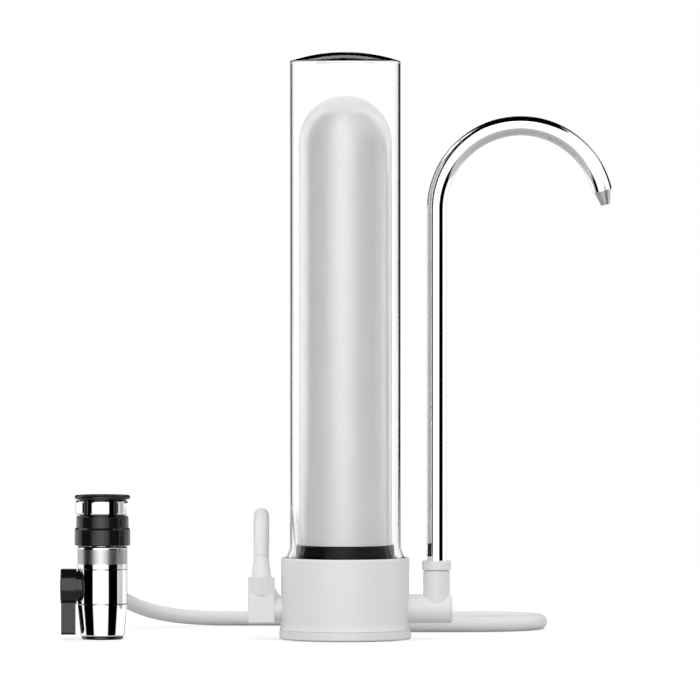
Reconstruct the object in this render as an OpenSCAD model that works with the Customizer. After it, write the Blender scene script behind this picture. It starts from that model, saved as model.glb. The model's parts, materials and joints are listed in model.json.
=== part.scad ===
// Countertop water filter: a clear canister on a white base, fed by a hose from a tap diverter,
// with a chrome gooseneck spout. Millimetres, +Z up, +X towards the spout, -Y towards the viewer.
// The origin is the centre of the base's underside.

/* [Cartridge] */
// Diameter of the ceramic cartridge
cartridge_d = 52.6; // [46:0.2:60]
// Length of the cartridge, from its foot to the top of its dome
cartridge_len = 254; // [200:1:280]
// Wall of the ceramic shell
cartridge_wall = 7; // [5:0.5:9]
// Bore through the carbon core
core_bore_d = 9; // [6:0.5:14]
// How far the end cap stands out past the cartridge
cap_lip = 1.2; // [0.8:0.1:3]
// Height of the end cap
cap_h = 12.2; // [8:0.1:16]
// Depth of the cup that holds the cartridge's foot
cup_depth = 2.6; // [1:0.1:4]
// Diameter of the nipple under the end cap
nipple_d = 16; // [14:0.5:20]
// Length of the nipple
nipple_len = 13; // [10:0.5:16]

/* [Housing] */
// Wall of the clear canister
housing_wall = 3; // [2:0.1:4]
// Room above the cartridge's dome
headroom = 18; // [10:0.5:30]
// Thickness of the canister's top at its middle
housing_top_t = 6.8; // [5:0.1:10]
// Rise of the domed top
dome_rise = 5.1; // [4:0.1:8]
// How far the screwed skirt stands out past the canister
skirt_flare = 2.3; // [2.1:0.1:3.5]
// Height of the cone between canister and skirt
flare_h = 5.2; // [3:0.1:9]

/* [Base] */
// Height of the base
base_h = 45.8; // [43:0.1:50]
// Wall of the base shell
base_wall = 2.3; // [1.6:0.1:4]
// How far the foot stands out past the base
foot_flare = 0.9; // [0.4:0.1:3]
// Height of the foot's straight band
foot_h = 5.6; // [2:0.1:6]
// Thickness of the non-slip pad
pad_t = 1.2; // [0.8:0.1:3]
// Thickness of the bottom plate
plate_t = 3; // [2.6:0.1:5]
// Height of the manifold block
manifold_h = 26; // [24:0.1:28]
// Diameter of the water channels
channel_d = 7; // [4:0.5:8]
// Height of the ports above the bottom plate
port_rise = 12.8; // [12:0.1:15]
// How far a fitting reaches into the manifold
port_depth = 8; // [6:0.5:9]

/* [Inlet fitting] */
// Side of the square elbow block
block_w = 15.1; // [14.2:0.1:18]
// Height of the elbow block
block_h = 15.7; // [14.8:0.1:18]
// Diameter of the elbow's stub
stub_d = 14; // [11:0.1:14]
// Length of stub that shows between the block and the base
stub_len = 3.5; // [2:0.1:12]
// Hexagon nut, across its flats
nut_af = 15; // [13.6:0.1:18]
// Length of the hexagon nut
nut_len = 9.6; // [8.6:0.1:14]
// Outside diameter of the hose
hose_d = 8.5; // [6:0.1:9]

/* [Spout] */
// Outside diameter of the spout tube
spout_d = 11; // [10.4:0.1:12]
// Wall of the spout tube
spout_wall = 0.9; // [0.6:0.1:1.2]
// Height where the bend begins
riser_top = 240.5; // [120:0.5:300]
// Radius of the bend at the tube's centre line
bend_r = 47; // [30:0.5:70]
// Angle through which the tube bends
bend_angle = 167; // [120:1:180]
// Length of the nozzle
nozzle_len = 8; // [5:0.5:20]
// Diameter of the nozzle's mouth
nozzle_d = 5; // [4.6:0.1:8]
// Diameter of the outlet fitting's cross tube
outlet_d = 16.2; // [15.2:0.1:18]
// Diameter of the outlet fitting's upright socket
socket_d = 15; // [14.6:0.1:17.6]
// Distance of the spout's axis from the base
spout_reach = 15.3; // [12:0.1:40]
// Length of the cross tube past the upright socket
outlet_tail = 0.2; // [0.1:0.1:10]
// Thickness of the plug on the cross tube's end
outlet_plug_t = 1.2; // [1:0.1:4]
// Height of the upright socket above the cross tube's axis
socket_rise = 21.3; // [20:0.1:40]
// Height of the collar on the socket
collar_h = 5.2; // [3:0.1:10]

/* [Diverter] */
// Distance of the diverter's axis from the filter's axis
diverter_x = 136; // [110:1:200]
// Diameter of the valve body
valve_d = 27.8; // [26.6:0.1:34]
// Height of the valve body
valve_h = 20.1; // [19.4:0.1:26]
// Height of the outlet sleeve under the valve body
outlet_sleeve_h = 17.9; // [17:0.1:26]
// Diameter at the foot of the outlet sleeve
outlet_foot_d = 24.4; // [23.8:0.1:26]
// Height of the black rim under the outlet sleeve
rim_h = 1.6; // [1:0.1:3]
// Height of the inlet sleeve above the valve body
inlet_sleeve_h = 12.6; // [12:0.1:20]
// Diameter of the union collar's grip
collar_d = 31; // [30:0.1:36]
// Height of the union collar's grip
collar_grip_h = 9.5; // [7:0.1:14]
// Diameter of the union collar's upper ring
collar_ring_d = 29.2; // [27:0.1:29.9]
// Height of the union collar's upper ring
collar_ring_h = 7; // [4:0.1:10]
// Diameter of the tap adapter over its pads
neck_d = 30; // [29:0.1:34]
// Height of the tap adapter's neck
neck_h = 9; // [8.6:0.1:14]
// How far the adapter's pads stand proud
pad_proud = 2.2; // [1.8:0.1:2.4]
// Number of pads round the adapter
pad_count = 6; // [4:1:8]
// Diameter of the adapter's tap thread
tap_thread_d = 21.8; // [20:0.1:22.4]
// Diameter of the black flange ring
flange_d = 31.2; // [28:0.1:38]
// Thickness of the black flange ring
flange_t = 2.5; // [1.5:0.1:5]

/* [Lever] */
// Diameter of the lever's hub
hub_d = 19.8; // [18.2:0.1:26]
// Thickness of the lever along its axis
lever_t = 8.3; // [7:0.1:12]
// Width of the lever's arm
arm_w = 7.6; // [5:0.1:12]
// Length of the arm from the lever's axis
arm_len = 27; // [16:0.1:27]
// Diameter of the black bonnet behind the lever
bonnet_d = 16.8; // [15.2:0.1:18]

/* [Clearances] */
// Radial gap between fixed pieces
fit_gap = 0.1; // [0.05:0.01:0.15]
// Radial gap of the turning fits
run_gap = 0.08; // [0.02:0.01:0.1]
// Radial gap at the screwed joints
thread_gap = 0.3; // [0.2:0.05:0.5]
// Gap between faces that slide over each other
face_gap = 0.3; // [0.2:0.05:0.5]
// Radial gap between the end cap and the canister
cap_gap = 0.5; // [0.3:0.05:1.5]

/* [Hidden] */
$fn = 96;
// Overlap that makes cuts run clean through a face
cut = 1;
edge = 0.6;

// Heights in the base, from the counter up
rim_lift = 0.4;
plate_z = pad_t;
manifold_z = plate_z + plate_t;
deck_z = manifold_z + manifold_h;
port_z = manifold_z + port_rise;
housing_z = deck_z + face_gap;
boss_h = 8.5;
gasket_t = 1.6;
feed_offset = 5;
gasket_z = deck_z + boss_h;
cap_z = gasket_z + gasket_t + fit_gap;
cap_top = cap_z + cap_h;
cartridge_z = cap_top - cup_depth;
cartridge_top = cartridge_z + cartridge_len;
housing_inner_top = cartridge_top + headroom;
housing_top = housing_inner_top + housing_top_t;

// Radii, from the cartridge out to the base
cartridge_r = cartridge_d / 2;
cap_r = cartridge_r + cap_lip;
housing_bore_r = cap_r + cap_gap;
housing_r = housing_bore_r + housing_wall;
skirt_r = housing_r + skirt_flare;
skirt_bore_r = housing_bore_r + skirt_flare - 0.5;
rim_bevel = 0.5;
base_bore_r = skirt_r + thread_gap;
base_r = base_bore_r + base_wall;
foot_r = base_r + foot_flare;
manifold_r = base_bore_r - fit_gap;
boss_wall = 8;
boss_r = nipple_d / 2 + boss_wall;
dome_r = (housing_r * housing_r + dome_rise * dome_rise) / (2 * dome_rise);

// Inner ledge that the bottom plate and the manifold clamp
ledge_w = 2.2;
ledge_h = 2.2;
ledge_r = base_bore_r - ledge_w;

// Bottom screws
screw_count = 3;
screw_d = 3;
screw_head_d = 5.6;
screw_head_h = 2;
screw_len = 11;
screw_offset = 8;
screw_ring_r = boss_r + screw_offset;

// Round seals: cord radius of each
housing_seal_r = 1.2;
port_seal_r = 0.9;
nipple_seal_r = 1;
tail_seal_r = 0.8;
plug_seal_r = 0.8;
stem_seal_r = 0.7;

// Inlet elbow and its compression joint
stub_end = manifold_r - port_depth;
elbow_x = -(base_r + stub_len + block_w / 2);
block_top = port_z + block_h / 2;
hose_r = hose_d / 2;
hose_bore_r = hose_r + fit_gap;
nose_r = hose_bore_r + 1.1;
nose_len = 6;
tail_seat = 2;
ferrule_t = 1.8;
boot_r = 5.6;
boot_tip_r = hose_r + 0.1;
boot_foot_h = 1.6;

// Outlet fitting and spout
spout_x = base_r + spout_reach;
spout_r = spout_d / 2;
outlet_end = spout_x + socket_d / 2 + outlet_tail + outlet_plug_t;
socket_top = port_z + socket_rise;
tail_r = spout_r - 0.5;
tail_bore_r = 2.6;
tail_flange_r = spout_r + 0.75;
tail_flange_t = 1.6;
tail_rise = 7.3;
tail_z = port_z + tail_rise;
tail_flange_drop = 3.5;
tail_flange_z = socket_top - tail_flange_drop;
tail_spigot_len = 10;
tube_z = tail_flange_z + tail_flange_t;
collar_z = socket_top + 0.5;
collar_spigot_r = tail_flange_r + fit_gap;

// Heights of the diverter, from the counter up
outlet_z = rim_h;
valve_z = outlet_z + outlet_sleeve_h;
axis_z = valve_z + valve_h / 2;
inlet_z = valve_z + valve_h;
collar_low = inlet_z + inlet_sleeve_h + face_gap;
collar_mid = collar_low + collar_grip_h;
collar_high = collar_mid + collar_ring_h;
neck_z = collar_high + face_gap;
flange_z = neck_z + neck_h;

// Inside the diverter
valve_r = valve_d / 2;
bore_r = 4;
spigot_r = 9.6;
spigot_len = 5.5;
aerator_r = 10;
aerator_h = 8.4;
aerator_bore_r = 8.5;
swivel_r = 8;
swivel_len = 6;
swivel_flange_r = 12;
swivel_flange_t = 2.5;
lip_t = 4;
lip_top = collar_low + lip_t;
swivel_z = lip_top + face_gap;
washer_t = 2;
washer_z = swivel_z + swivel_flange_t;
adapter_z = washer_z + washer_t + fit_gap;
adapter_spigot_r = swivel_flange_r - 0.2;
seat_z = neck_z + 0.5;
seat_h = 2;

// Valve plug, stem and lever, measured along the lever's axis from the diverter's axis
plug_r = 7;
valve_wall = 3.5;
plug_half = valve_r - valve_wall;
bonnet_r = bonnet_d / 2;
bonnet_in = plug_half + 0.2;
bonnet_out = valve_r + 0.9;
stem_r = 3;
drive_w = 4.2;
lever_in = bonnet_out + face_gap;
lever_out = lever_in + lever_t;
drive_end = lever_out - 1.8;
lever_screw_r = 1.4;
lever_screw_head_r = 2.8;
lever_screw_len = 7;

// Hose port at the back of the valve body
port_boss_r = 6.8;
port_boss_len = 3.1;
port_face = valve_r + port_boss_len;
hose_joint_len = 15;
hose_start = port_face + hose_joint_len;

// Points that guide the hose, from the top of the elbow block's nut to the back of the diverter
hose_route = [
    [-47, 0, 35.6], [-47, 2.5, 45.7], [-47, 7.8, 54.6], [-47, 15.3, 61.7], [-47.1, 24.6, 66.5],
    [-47.2, 34.8, 68.4], [-47.4, 45.1, 67.3], [-47.6, 54.7, 63.4], [-47.8, 62.8, 57], [-47.9, 68.8, 48.5],
    [-48, 72.2, 38.7], [-46.2, 74.2, 28.1], [-41.2, 76, 18.5], [-33.2, 77.4, 10.9], [-23.2, 78.4, 6],
    [-12, 78.7, 4.3], [0, 78.7, 4.3], [35, 78.7, 4.3], [60.8, 78.7, 4.3], [74.8, 78.7, 4.3],
    [86.4, 80.5, 4.3], [96.8, 85.8, 4.3], [105.1, 94.1, 4.3], [110.5, 104.6, 4.3], [112.3, 116.2, 4.3],
    [110.5, 127.8, 4.3], [105.1, 138.3, 4.3], [96.8, 146.6, 4.3], [86.4, 151.9, 4.3], [74.8, 153.7, 4.3],
    [60.8, 153.7, 4.3], [-11, 153.7, 4.3], [-48, 153.7, 4.3], [-62, 153.7, 4.3], [-90.3, 148.1, 4.6],
    [-114.3, 132, 9.2], [-130.4, 108, 18.5], [-136, 79.7, 25.8], [-136, 53.2, 29.2], [-136, 32.2, 29.6]
];
hose_sides = 10;
rings_per_span = 2;

white = "whitesmoke";
black = [0.09, 0.09, 0.1];
chrome = "silver";
rubber = "dimgray";

// Points of an arc about centre c
function arc(c, r, from, to, steps = 8) =
    [for (i = [0 : steps]) c + r * [cos(from + (to - from) * i / steps), sin(from + (to - from) * i / steps)]];

// Vector of length one along v
function unit(v) = v / norm(v);

// Point at share t of the way from b to c, on the even curve that a, b, c and d guide
function curve_point(a, b, c, d, t) =
    let (u = 1 - t)
    (u * u * u * a + (4 - 6 * t * t + 3 * t * t * t) * b + (4 - 6 * u * u + 3 * u * u * u) * c
        + t * t * t * d) / 6;

// Smooth line along a route, which begins and ends at the route's own ends
function smooth_line(p, steps) = concat(
    [for (i = [0 : len(p) - 2], k = [0 : steps - 1])
        let (before = i > 0 ? p[i - 1] : 2 * p[0] - p[1])
        let (after = i < len(p) - 2 ? p[i + 2] : 2 * p[i + 1] - p[i])
        curve_point(before, p[i], p[i + 1], after, k / steps)],
    [p[len(p) - 1]]);

// Direction of a line at each of its points
function directions(p) =
    [for (i = [0 : len(p) - 1]) unit(p[min(i + 1, len(p) - 1)] - p[max(i - 1, 0)])];

// Sideways vectors that follow a line without twisting round it
function sideways(t) =
    [for (i = 0, u = [1, 0, 0]; i < len(t); i = i + 1, u = i < len(t) ? unit(u - (u * t[i]) * t[i]) : u) u];

hose_line = smooth_line(hose_route, rings_per_span);
hose_along = directions(hose_line);
hose_aside = sideways(hose_along);

// Ring of points round the hose's line
function hose_ring(i, r) =
    [for (k = [0 : hose_sides - 1])
        hose_line[i] + r * (cos(360 * k / hose_sides) * hose_aside[i]
            + sin(360 * k / hose_sides) * cross(hose_along[i], hose_aside[i]))];

// Closed tube along the hose's line, whose radius goes evenly from r1 to r2
module hose_stretch(first, last, r1, r2) {
    count = last - first;
    points = [for (i = [0 : count], p = hose_ring(first + i, r1 + (r2 - r1) * i / count)) p];
    sides = [for (i = [0 : count - 1], k = [0 : hose_sides - 1], half = [0, 1])
        let (a = i * hose_sides + k)
        let (b = i * hose_sides + (k + 1) % hose_sides)
        half == 0 ? [a, b, b + hose_sides] : [a, b + hose_sides, a + hose_sides]];
    start = [for (k = [hose_sides - 1 : -1 : 0]) k];
    end = [for (k = [0 : hose_sides - 1]) count * hose_sides + k];
    polyhedron(points, [for (f = concat(sides, [start, end])) [for (i = [len(f) - 1 : -1 : 0]) f[i]]]);
}

// Ring seal about +Z, centred on the origin
module seal_ring(r, cord_r) {
    rotate_extrude() translate([r, 0]) circle(cord_r, $fn = 32);
}

// Groove that a ring seal of the same sizes sits in, in a pin or in a bore
module seal_groove(r, cord_r) {
    width = cord_r + fit_gap;
    rotate_extrude() translate([r - width, -width]) square(2 * width);
}

// Cylinder about +Z with a bore right through it
module tube(h, r, bore) {
    difference() {
        cylinder(h = h, r = r);
        translate([0, 0, -cut]) cylinder(h = h + 2 * cut, r = bore);
    }
}

// Turns what is drawn along +Z to lie along +X, -X or +Y
module along_x() { rotate([0, 90, 0]) children(); }
module along_minus_x() { rotate([0, -90, 0]) children(); }
module along_y() { rotate([-90, 0, 0]) children(); }

// Moves to the axis of the inlet elbow's nut, of the spout or of the diverter
module at_inlet() { translate([elbow_x, 0, block_top]) children(); }
module at_spout() { translate([spout_x, 0, 0]) children(); }
module at_diverter() { translate([-diverter_x, 0, 0]) children(); }
module at_valve() { translate([-diverter_x, 0, axis_z]) children(); }
module at_hose_port() { translate([-diverter_x, port_face, axis_z]) along_y() children(); }

// Base

module base_outline() {
    top = foot_h + 4 * foot_flare + 1;
    rise = top - foot_h;
    flare_r = (foot_flare * foot_flare + rise * rise) / (2 * foot_flare);
    flare_angle = asin(rise / flare_r);
    lip_r = base_wall / 2;
    groove_r = foot_r - 0.35;
    groove_z = foot_h - 0.45;
    polygon(concat(
        [[base_bore_r, rim_lift], [foot_r - edge, rim_lift], [foot_r, rim_lift + edge],
            [foot_r, groove_z], [groove_r, groove_z], [groove_r, foot_h]],
        arc([base_r + flare_r, top], flare_r, 180 + flare_angle, 180),
        arc([base_r - lip_r, base_h - lip_r], lip_r, 0, 90),
        [[base_bore_r + edge, base_h], [base_bore_r, base_h - edge],
            [base_bore_r, manifold_z + ledge_h], [ledge_r, manifold_z + ledge_h],
            [ledge_r, manifold_z], [base_bore_r, manifold_z]]));
}

module base_shell() {
    color(white) difference() {
        rotate_extrude() base_outline();
        translate([0, 0, port_z]) along_minus_x() cylinder(h = foot_r + cut, d = stub_d + 2 * fit_gap);
        translate([0, 0, port_z]) along_x() cylinder(h = foot_r + cut, d = outlet_d + 2 * fit_gap);
    }
}

module at_screws() {
    for (i = [0 : screw_count - 1])
        rotate(90 + i * 360 / screw_count) translate([screw_ring_r, 0, 0]) children();
}

module base_manifold() {
    socket_z = cap_z - nipple_len - 1;
    feed_x = boss_r + feed_offset;
    foot = ledge_h + face_gap;
    color(white) difference() {
        union() {
            translate([0, 0, manifold_z]) cylinder(h = foot + cut, r = ledge_r - fit_gap);
            translate([0, 0, manifold_z + foot]) cylinder(h = manifold_h - foot, r = manifold_r);
            translate([0, 0, deck_z - cut]) cylinder(h = boss_h + cut, r = boss_r);
        }
        // Ports for the two fittings, with the water channels behind them
        translate([-stub_end, 0, port_z]) along_minus_x()
            cylinder(h = port_depth + cut, d = stub_d + 2 * fit_gap);
        translate([stub_end, 0, port_z]) along_x() cylinder(h = port_depth + cut, d = outlet_d + 2 * fit_gap);
        translate([-feed_x, 0, port_z]) along_minus_x() cylinder(h = stub_end - feed_x + cut, d = channel_d);
        translate([0, 0, port_z]) along_x() cylinder(h = stub_end + cut, d = channel_d);
        // Feed hole up to the canister, and the nipple's socket down to the outlet channel
        translate([-feed_x, 0, port_z]) cylinder(h = deck_z - port_z + cut, d = channel_d - 1);
        translate([0, 0, port_z]) cylinder(h = socket_z - port_z + cut, d = channel_d + 1);
        translate([0, 0, socket_z]) cylinder(h = gasket_z - socket_z + cut, d = nipple_d + 2 * run_gap);
        translate([0, 0, manifold_z - cut]) at_screws() cylinder(h = screw_len, d = screw_d + 2 * fit_gap);
    }
}

module base_plate() {
    color(white) translate([0, 0, plate_z]) difference() {
        cylinder(h = plate_t - fit_gap, r = base_bore_r - fit_gap);
        translate([0, 0, -cut]) at_screws() cylinder(h = plate_t + 2 * cut, d = screw_d + 2 * fit_gap);
        translate([0, 0, -cut]) at_screws()
            cylinder(h = screw_head_h + fit_gap + cut, d = screw_head_d + 2 * fit_gap);
    }
}

module base_pad() {
    color(rubber) cylinder(h = pad_t, r = base_bore_r - edge);
}

module base_screws() {
    color(chrome) translate([0, 0, plate_z + fit_gap / 2]) at_screws() {
        cylinder(h = screw_head_h, d = screw_head_d);
        cylinder(h = screw_len, d = screw_d);
    }
}

// Inlet elbow and hose joint

// Threaded nose with a seat for the hose's end, standing on the origin
module joint_nose() {
    difference() {
        translate([0, 0, -cut]) cylinder(h = nose_len + cut, r = nose_r);
        translate([0, 0, tail_seat]) cylinder(h = nose_len, r = hose_bore_r);
    }
}

module joint_nut() {
    difference() {
        cylinder(h = nut_len, d = nut_af / cos(30), $fn = 6);
        translate([0, 0, -cut]) cylinder(h = nose_len + ferrule_t + 2 * fit_gap + cut, r = nose_r + fit_gap);
        translate([0, 0, -cut]) cylinder(h = nut_len + 2 * cut, r = hose_bore_r);
    }
}

module joint_ferrule() {
    translate([0, 0, nose_len + fit_gap]) tube(ferrule_t, nose_r, hose_bore_r);
}

// End of the hose inside the nut
module joint_tail() {
    translate([0, 0, tail_seat + fit_gap]) cylinder(h = nut_len - tail_seat - fit_gap, r = hose_r);
}

// Rectangle with bevelled corners, centred on the origin
module bevelled_square(w, h) {
    x = w / 2;
    y = h / 2;
    polygon([[edge - x, -y], [x - edge, -y], [x, edge - y], [x, y - edge],
        [x - edge, y], [edge - x, y], [-x, y - edge], [-x, edge - y]]);
}

// Square block with bevelled edges, centred on the origin
module bevelled_block(w, h) {
    intersection() {
        linear_extrude(h, center = true) bevelled_square(w, w);
        rotate([90, 0, 0]) linear_extrude(w, center = true) bevelled_square(w, h);
        rotate([90, 0, 90]) linear_extrude(w, center = true) bevelled_square(w, h);
    }
}

module inlet_elbow() {
    seal_x = (stub_end + manifold_r) / 2;
    half_bore = channel_d / 2;
    color(white) difference() {
        union() {
            translate([elbow_x, 0, port_z]) bevelled_block(block_w, block_h);
            translate([-stub_end - fit_gap, 0, port_z]) along_minus_x()
                cylinder(h = -elbow_x - stub_end, d = stub_d);
            at_inlet() joint_nose();
        }
        translate([elbow_x, 0, port_z]) along_x() cylinder(h = -elbow_x, d = channel_d);
        translate([elbow_x, 0, port_z - half_bore]) cylinder(h = block_h + nose_len, d = channel_d - 1);
        at_inlet() translate([0, 0, tail_seat]) cylinder(h = nose_len, r = hose_bore_r);
        translate([-seal_x, 0, port_z]) along_x() seal_groove(stub_d / 2 - port_seal_r, port_seal_r);
    }
}

module inlet_seal() {
    seal_x = (stub_end + manifold_r) / 2;
    color(rubber) translate([-seal_x, 0, port_z]) along_x()
        seal_ring(stub_d / 2 - port_seal_r, port_seal_r);
}

module inlet_nut() {
    color(white) at_inlet() rotate(30) joint_nut();
}

module inlet_ferrule() {
    color(chrome) at_inlet() joint_ferrule();
}

module inlet_boot() {
    color(white) {
        at_inlet() joint_tail();
        at_inlet() translate([0, 0, nut_len]) cylinder(h = boot_foot_h, r = boot_r);
        hose_stretch(0, rings_per_span, boot_r, boot_tip_r);
    }
}

// Outlet fitting

module outlet_elbow() {
    seal_x = (stub_end + manifold_r) / 2;
    body_end = outlet_end - outlet_plug_t;
    color(white) difference() {
        union() {
            translate([stub_end + fit_gap, 0, port_z]) along_x()
                cylinder(h = body_end - stub_end - fit_gap, d = outlet_d);
            translate([spout_x, 0, port_z]) cylinder(h = socket_rise, d = socket_d);
        }
        translate([stub_end - cut, 0, port_z]) along_x() cylinder(h = outlet_end, d = channel_d);
        translate([spout_x, 0, port_z]) cylinder(h = socket_rise, d = channel_d - 1);
        translate([spout_x, 0, tail_z - face_gap]) cylinder(h = socket_rise, r = tail_r + run_gap);
        translate([spout_x, 0, tail_flange_z - face_gap])
            cylinder(h = socket_rise, r = collar_spigot_r + fit_gap);
        translate([seal_x, 0, port_z]) along_x() seal_groove(outlet_d / 2 - port_seal_r, port_seal_r);
    }
}

module outlet_seal() {
    seal_x = (stub_end + manifold_r) / 2;
    color(rubber) translate([seal_x, 0, port_z]) along_x()
        seal_ring(outlet_d / 2 - port_seal_r, port_seal_r);
}

module outlet_plug() {
    plug_len = 4;
    color(white) translate([outlet_end, 0, port_z]) along_minus_x() {
        cylinder(h = edge, r1 = outlet_d / 2 - 2 * edge, r2 = outlet_d / 2 - edge);
        translate([0, 0, edge]) cylinder(h = outlet_plug_t - edge, r = outlet_d / 2 - edge);
        cylinder(h = plug_len, d = channel_d - 2 * fit_gap);
    }
}

module spout_collar() {
    spigot_z = tube_z + face_gap;
    rim_r = socket_d / 2 + edge;
    color(white) at_spout() rotate_extrude() polygon([
        [spout_r + run_gap, spigot_z], [collar_spigot_r, spigot_z], [collar_spigot_r, collar_z],
        [rim_r - edge / 2, collar_z], [rim_r, collar_z + edge / 2],
        [rim_r, collar_z + collar_h - edge], [rim_r - edge, collar_z + collar_h],
        [spout_r + run_gap, collar_z + collar_h]]);
}

// Canister

module housing_outline() {
    corner_z = housing_top - dome_rise - rim_bevel;
    flare_z = base_h + flare_h;
    difference() {
        union() {
            translate([0, housing_z]) square([skirt_r, base_h - housing_z]);
            polygon([[0, base_h - cut], [skirt_r, base_h - cut], [skirt_r, base_h],
                [housing_r, flare_z], [housing_r, corner_z], [0, corner_z]]);
            intersection() {
                translate([0, housing_top - dome_r]) circle(dome_r);
                polygon([[0, corner_z - cut], [housing_r, corner_z - cut], [housing_r, corner_z],
                    [housing_r - 2 * rim_bevel, corner_z + 3 * rim_bevel],
                    [housing_r - 2 * rim_bevel, housing_top + cut], [0, housing_top + cut]]);
            }
        }
        translate([-cut, housing_z - cut]) square([housing_bore_r + cut, housing_inner_top - housing_z + cut]);
        polygon([[-cut, housing_z - cut], [skirt_bore_r, housing_z - cut], [skirt_bore_r, base_h],
            [housing_bore_r, flare_z], [-cut, flare_z]]);
    }
}

housing_seal_rise = 3.5;
housing_seal_z = housing_z + housing_seal_rise;
housing_seal_ring_r = base_bore_r - face_gap / 2 - housing_seal_r;

module housing() {
    color([0.85, 0.9, 0.92, 0.35]) difference() {
        rotate_extrude() housing_outline();
        translate([0, 0, housing_seal_z]) seal_groove(housing_seal_ring_r, housing_seal_r);
    }
}

module housing_seal() {
    color(rubber) translate([0, 0, housing_seal_z]) seal_ring(housing_seal_ring_r, housing_seal_r);
}

// Cartridge

module cartridge_gasket() {
    color(rubber) translate([0, 0, gasket_z]) tube(gasket_t, boss_r - edge, nipple_d / 2 + face_gap);
}

nipple_seal_z = cap_z - nipple_len / 2;
nipple_seal_ring_r = nipple_d / 2 - nipple_seal_r;

module cartridge_end_cap() {
    notch_count = 3;
    notch_d = 6;
    notch_step = 35;
    color(black) difference() {
        union() {
            rotate_extrude() polygon([
                [0, cap_z], [cap_r - 2 * edge, cap_z], [cap_r, cap_z + 2 * edge], [cap_r, cap_top - edge],
                [cap_r - edge, cap_top], [0, cap_top]]);
            translate([0, 0, cap_z - nipple_len]) cylinder(h = nipple_len + cut, d = nipple_d);
        }
        translate([0, 0, cartridge_z]) cylinder(h = cup_depth + cut, r = cartridge_r + fit_gap);
        translate([0, 0, cap_z - nipple_len - cut])
            cylinder(h = nipple_len + cap_h + 2 * cut, d = channel_d + 1);
        translate([0, 0, nipple_seal_z]) seal_groove(nipple_seal_ring_r, nipple_seal_r);
        // Notches at the back, through which water reaches the canister
        for (i = [0 : notch_count - 1])
            rotate(90 + (i - (notch_count - 1) / 2) * notch_step)
                translate([cap_r + notch_d / 2 - cap_lip + fit_gap * 2, 0, cap_z - cut])
                    cylinder(h = cap_h + 2 * cut, d = notch_d);
    }
}

module cartridge_seal() {
    color(rubber) translate([0, 0, nipple_seal_z]) seal_ring(nipple_seal_ring_r, nipple_seal_r);
}

module domed_column(r, top, bottom) {
    translate([0, 0, bottom]) cylinder(h = top - r - bottom, r = r);
    translate([0, 0, top - r]) sphere(r);
}

module cartridge_shell() {
    foot = cartridge_z + fit_gap;
    color("ivory") difference() {
        domed_column(cartridge_r, cartridge_top, foot);
        domed_column(cartridge_r - cartridge_wall, cartridge_top - cartridge_wall, foot - cut);
    }
}

module cartridge_core() {
    foot = cartridge_z + fit_gap;
    color(black) translate([0, 0, foot])
        tube(cartridge_len - cartridge_r - fit_gap, cartridge_r - cartridge_wall - fit_gap, core_bore_d / 2);
}

// Spout

tail_seal_ring_r = tail_r - tail_seal_r;
tail_seal_z = 3;
tail_seal_pitch = 3.5;

module at_tail_seals() {
    for (i = [0, 1]) at_spout() translate([0, 0, tail_z + tail_seal_z + i * tail_seal_pitch]) children();
}

module spout_tail() {
    spigot_r = spout_r - spout_wall - fit_gap;
    color("goldenrod") difference() {
        at_spout() rotate_extrude() polygon([
            [tail_bore_r, tail_z], [tail_r - edge, tail_z], [tail_r, tail_z + edge], [tail_r, tail_flange_z],
            [tail_flange_r, tail_flange_z], [tail_flange_r, tube_z], [spigot_r, tube_z],
            [spigot_r, tube_z + tail_spigot_len], [tail_bore_r, tube_z + tail_spigot_len]]);
        at_tail_seals() seal_groove(tail_seal_ring_r, tail_seal_r);
    }
}

module spout_seals() {
    color(rubber) at_tail_seals() seal_ring(tail_seal_ring_r, tail_seal_r);
}

module spout_section() {
    difference() {
        circle(spout_r);
        circle(spout_r - spout_wall);
    }
}

// Moves to the end of the spout's bend, with +Z along the water's way out
module at_spout_end() {
    translate([spout_x + bend_r, 0, riser_top])
        rotate([0, bend_angle - 180, 0]) translate([bend_r, 0, 0]) rotate([180, 0, 0]) children();
}

module spout_tube() {
    color(chrome) {
        translate([spout_x, 0, tube_z]) rotate(180) linear_extrude(riser_top - tube_z) spout_section();
        translate([spout_x + bend_r, 0, riser_top]) rotate([90, 0, 0])
            rotate_extrude(angle = bend_angle, start = 180 - bend_angle)
                translate([bend_r, 0]) spout_section();
    }
}

module spout_nozzle() {
    lip_r = spout_r - 0.75;
    mouth_r = nozzle_d / 2;
    wall = 0.8;
    plug_len = 3;
    plug_r = spout_r - spout_wall - fit_gap - plug_len * plug_len / (2 * bend_r);
    color("gray") at_spout_end() rotate_extrude() polygon([
        [mouth_r - wall, nozzle_len], [mouth_r, nozzle_len], [lip_r, 0],
        [plug_r, 0], [plug_r, -plug_len], [mouth_r + wall, -plug_len], [mouth_r + wall, 0]]);
}

// Diverter, from the bottom up

module aerator_insert() {
    hole_count = 12;
    hole_ring_r = aerator_bore_r * 0.68;
    deck_t = 2;
    color(black) at_diverter() difference() {
        union() {
            cylinder(h = edge, r1 = outlet_foot_d / 2 - 2 * edge, r2 = outlet_foot_d / 2 - edge);
            translate([0, 0, edge]) cylinder(h = rim_h - edge, r = outlet_foot_d / 2 - edge);
            translate([0, 0, edge]) cylinder(h = rim_h - edge + aerator_h, r = aerator_r - fit_gap);
        }
        translate([0, 0, -cut]) cylinder(h = rim_h + aerator_h - deck_t + cut, r = aerator_bore_r);
        for (i = [0 : hole_count - 1])
            rotate(i * 360 / hole_count) translate([hole_ring_r, 0, 0]) cylinder(h = rim_h + aerator_h + cut, d = 2);
    }
}

module aerator_screen() {
    color(chrome) at_diverter() translate([0, 0, rim_h]) cylinder(h = 0.8, r = aerator_bore_r - fit_gap / 2);
}

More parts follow.
